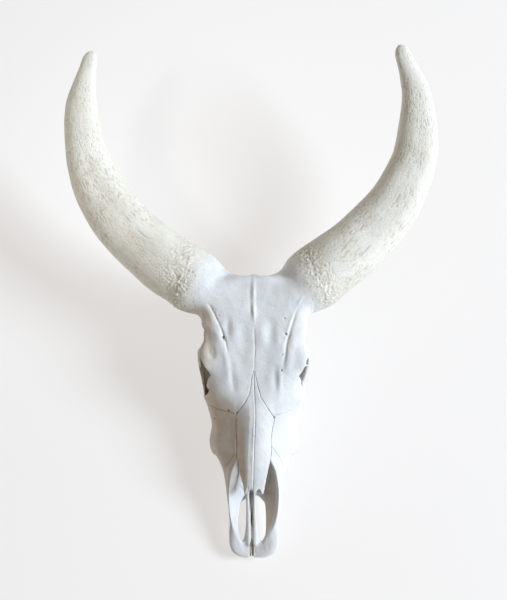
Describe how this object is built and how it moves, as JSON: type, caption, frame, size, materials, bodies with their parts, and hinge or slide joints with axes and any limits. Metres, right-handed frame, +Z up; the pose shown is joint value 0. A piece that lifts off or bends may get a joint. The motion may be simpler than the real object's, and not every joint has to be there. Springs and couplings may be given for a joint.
{
  "type": "cow skull",
  "caption": "Bleached skull of a long-horned cow with its bare horn cores and without its lower jaw, a still display piece that lies on its cheek teeth.",
  "frame": {"origin": "on the floor under the middle of the part's box, with the skull lying at rest", "axes": "+X to the right of the picture, +Y towards the horn tips and away from the nose, +Z up from the floor"},
  "size_m": [0.6747, 0.887, 0.2914],
  "materials": {
    "bone": "bleached dry bone, matte with a faint sheen on the forehead and nasal bones",
    "horn_core": "bleached porous bone, warm ivory, matte, pitted all over and rough at the burr"
  },
  "bodies": {
    "root": {"cranium": "bone", "maxilla_left": "bone", "maxilla_right": "bone", "premaxilla_left": "bone", "premaxilla_right": "bone", "nasal_left": "bone", "nasal_right": "bone", "horn_core_left": "horn_core", "horn_core_right": "horn_core"}
  },
  "joints": []
}
